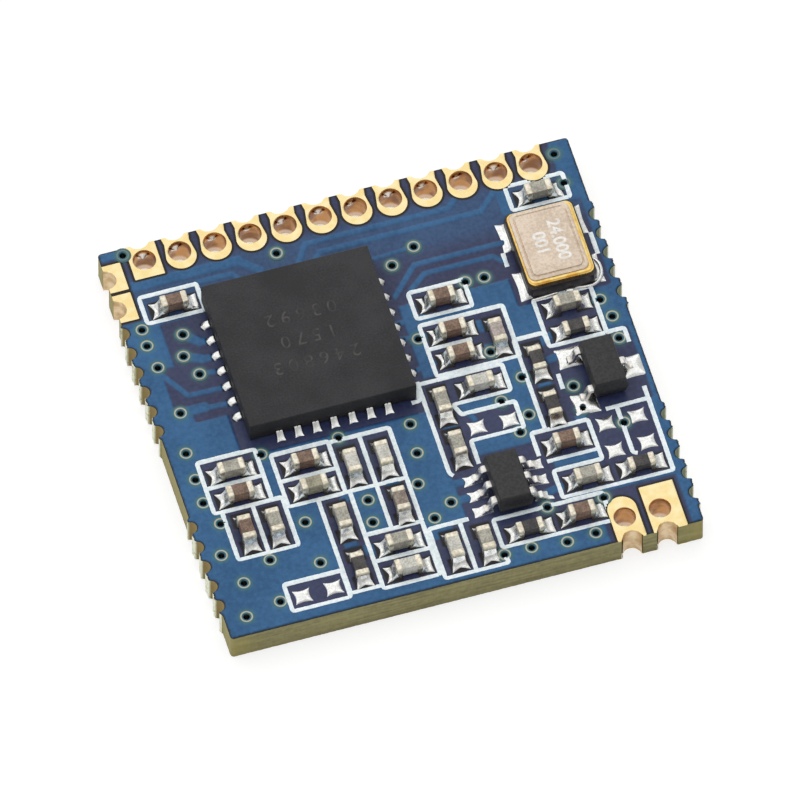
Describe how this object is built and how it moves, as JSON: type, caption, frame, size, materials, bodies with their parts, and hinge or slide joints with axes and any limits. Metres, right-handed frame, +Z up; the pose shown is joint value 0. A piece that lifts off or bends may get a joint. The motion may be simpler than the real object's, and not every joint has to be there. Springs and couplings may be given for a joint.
{
  "type": "long-range radio module",
  "caption": "A small blue circuit board radio module with plated edge pads along its back, a leadless radio chip, a crystal, an aerial switch and tiny chip parts on its top face.",
  "frame": {"origin": "under the middle of the board, on the plane that its lowest pads rest on", "axes": "+Z up out of the side that carries the parts, +X along the row of twelve pads on the back edge, from pad 1 to pad 12, and -Y towards the front edge with the aerial's pads"},
  "size_m": [0.0172, 0.0164, 0.0021],
  "materials": {
    "black_ceramic": "fired black ceramic",
    "ceramic_brown": "fired brown ceramic with tinned ends",
    "ceramic_grey": "fired grey ceramic with tinned ends",
    "ceramic_olive": "fired olive grey ceramic with tinned ends",
    "ceramic_pinkish": "fired pinkish grey ceramic with tinned ends",
    "ceramic_taupe": "fired grey-brown ceramic with tinned ends",
    "ceramic_white": "white ceramic with tinned ends",
    "chip_compound": "moulded epoxy, matt dark grey",
    "gold_plating": "thin gold plating over nickel, bright",
    "gold_ring": "gold-plated ring",
    "lacquered_laminate": "blue lacquer on glass-fibre laminate, glossy",
    "moulding_compound": "moulded epoxy, matt",
    "nickel_lid": "nickel-plated sheet with a warm tint",
    "resistor_black": "black glazed ceramic with tinned ends",
    "solder": "reflowed solder, bright",
    "tinned_metal": "tin plating, bright",
    "white_print": "white printing ink"
  },
  "bodies": {
    "root": {"aerial_pad": "gold_plating", "aerial_switch_body": "moulding_compound", "aerial_switch_leads": "tinned_metal", "aerial_switch_solder": "solder", "capacitor_01": "ceramic_brown", "capacitor_02": "ceramic_grey", "capacitor_03": "ceramic_brown", "capacitor_04": "ceramic_brown", "capacitor_05": "ceramic_brown", "capacitor_06": "ceramic_pinkish", "capacitor_07": "ceramic_grey", "capacitor_08": "ceramic_grey", "capacitor_09": "ceramic_grey", "capacitor_10": "ceramic_brown", "capacitor_11": "ceramic_grey", "capacitor_12": "ceramic_brown", "capacitor_13": "ceramic_grey", "capacitor_14": "ceramic_brown", "capacitor_15": "ceramic_brown", "capacitor_16": "ceramic_grey", "capacitor_17": "ceramic_brown", "capacitor_18": "ceramic_olive", "capacitor_19": "ceramic_taupe", "capacitor_20": "ceramic_grey", "capacitor_21": "ceramic_grey", "capacitor_22": "ceramic_grey", "chip_part_solder": "solder", "circuit_board": "lacquered_laminate", "crystal_base": "black_ceramic", "crystal_lid": "nickel_lid", "crystal_seal_ring": "gold_ring", "crystal_solder": "solder", "ground_pad": "gold_plating", "header_pads": "gold_plating", "inductor_01": "ceramic_white", "inductor_02": "ceramic_white", "inductor_03": "ceramic_white", "inductor_04": "ceramic_white", "inductor_05": "ceramic_white", "printed_outlines": "white_print", "radio_chip_body": "chip_compound", "radio_chip_solder": "solder", "radio_chip_terminals": "tinned_metal", "resistor_01": "resistor_black", "resistor_02": "resistor_black", "resistor_03": "resistor_black", "resistor_04": "resistor_black", "resistor_05": "resistor_black", "resistor_06": "resistor_black", "side_pads": "gold_plating", "spare_lands": "solder", "transistor_body": "moulding_compound", "transistor_leads": "tinned_metal", "transistor_solder": "solder"}
  },
  "joints": []
}
